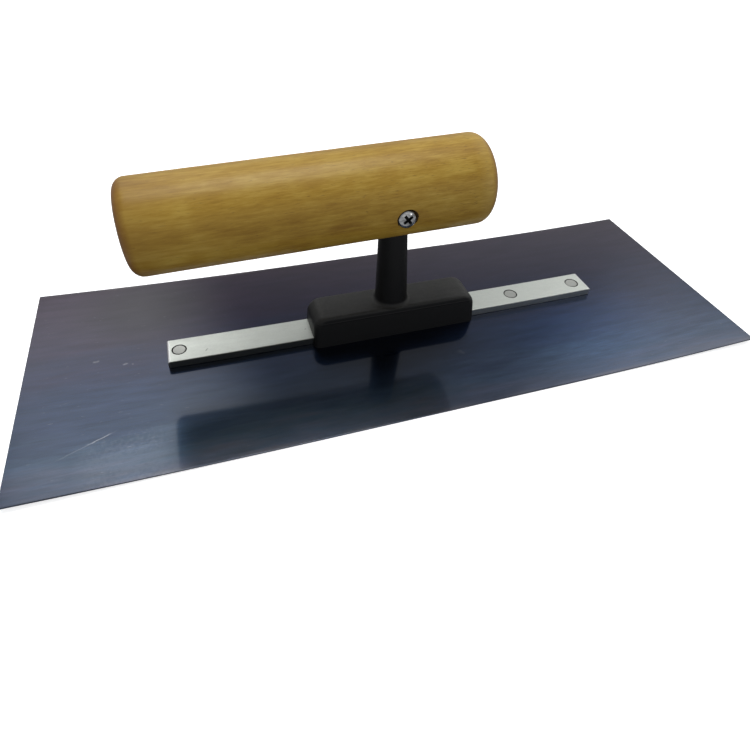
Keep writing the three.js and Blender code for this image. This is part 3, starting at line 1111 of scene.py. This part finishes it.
def handle_ring(x, radius):
    """A ring that wanders off round, as a hand-turned surface does."""
    middle = Vector((x, 0, HANDLE_AXIS))
    ring = []
    for i in range(HANDLE_ROUND_STEPS):
        turn = 2 * math.pi * i / HANDLE_ROUND_STEPS
        out = Vector((0, math.cos(turn), math.sin(turn)))
        across = (out.y * HANDLE_WAVES_ROUND, out.z * HANDLE_WAVES_ROUND)
        wobble = HANDLE_WOBBLE * noise.noise(Vector((x * HANDLE_WAVES_ALONG, *across)))
        ring.append(middle + out * (radius + wobble))
    return ring


def in_screw_recess(point, normal):
    """Whether a face of the handle lies in the wall or seat of the screw's recess."""
    back = LEAN.inverted() @ (point - POST_FOOT)
    spot = screw_place().inverted() @ back
    if math.hypot(spot.x, spot.y) > SCREW_RECESS_RADIUS + 2 * RECESS_FLARE:
        return False
    skin = math.hypot(back.y, back.z - HANDLE_AXIS)
    return spot.z > -RECESS_PAST and skin < handle_radius(SCREW_X) - RECESS_SKIN


def make_handle(material, dark_seat):
    body = loft([handle_ring(x, radius) for x, radius in handle_rows()])
    made = finish_mesh("handle_turned", lean(body), [material, dark_seat])
    bore_from = HANDLE_AXIS - HANDLE_RIGHT_RADIUS - BORE_PAST
    bore = [
        (post_radius(bore_from) + HAIRLINE, bore_from),
        (post_radius(POST_HEIGHT) + HAIRLINE, POST_HEIGHT + HAIRLINE),
    ]
    combine(made, lean(turned(bore, BORE_STEPS)))
    combine(made, lean(screw_tool(HAIRLINE)))
    # The recess's wall and seat are painted with stain and painted shade.
    paint(made, DARK_SEAT_INDEX, in_screw_recess)
    edit(made, sharp_degrees=SHARP_DEGREES_FINE)
    settle(made, "handle_wood", "handle")


def in_slot(spot, normal):
    """The slot's walls are steep and its floor is low. The head's dome is neither."""
    near = math.hypot(spot.x, spot.y) < SLOT_REACH and spot.z > SCREW_SEAT - SCREW_CONE_DEPTH
    return near and (normal.z < SLOT_WALL_NORMAL or spot.z < SCREW_SEAT + SLOT_FLOOR_HEIGHT)


def make_screw(material, dark_seat):
    profile = [
        (PINHOLE, -SCREW_LENGTH),
        (SCREW_SHANK_RADIUS, SCREW_POINT - SCREW_LENGTH),
        (SCREW_SHANK_RADIUS, SCREW_SEAT - SCREW_CONE_DEPTH),
    ]
    for turn in arc(SCREW_DOME_STEPS)[:-1]:
        height = SCREW_SEAT + SCREW_HEAD_HEIGHT * math.sin(turn)
        profile.append((SCREW_HEAD_RADIUS * math.cos(turn), height))
    profile.append((PINHOLE, SCREW_SEAT + SCREW_HEAD_HEIGHT))
    body = turned(profile, ROUND_STEPS)
    made = finish_mesh("handle_screw_driven", body, [material, dark_seat])
    for quarter in (0, math.pi / 2):
        arm = bevelled_box(-SLOT_HALF, SLOT_HALF, 0)
        for vert in arm.verts:
            if vert.co.z < 0:
                vert.co.x *= SLOT_FLOOR_SHARE[0]
                vert.co.y *= SLOT_FLOOR_SHARE[1]
        turn = Matrix.Rotation(SCREW_TURN + quarter, 3, "Z")
        bmesh.ops.rotate(arm, verts=arm.verts, matrix=turn)
        combine(made, shift(arm, (0, 0, SCREW_SEAT + SCREW_HEAD_HEIGHT)))
    # Painted shade: the slot's walls and floor are painted near black.
    paint(made, DARK_SEAT_INDEX, in_slot)
    edit(made, lambda bm: lean(seat_screw(bm)), SHARP_DEGREES_SCREW)
    settle(made, "screw_metal", "handle_screw")


make_camera()
make_studio()
make_blade(blued_steel())
make_bar(mill_aluminium("bar_aluminium", BAR_TONE), dark_seat_material("rivet_ring_dark", RIVET_RING_DARK))
make_rivets(mill_aluminium("rivet_aluminium", RIVET_TONE))
make_shank(black_moulding())
make_handle(varnished_wood(), dark_seat_material("recess_stain_and_shade", RECESS_STAIN_AND_SHADE))
make_screw(bright_plate(), dark_seat_material("slot_painted_shade", SLOT_SHADE))
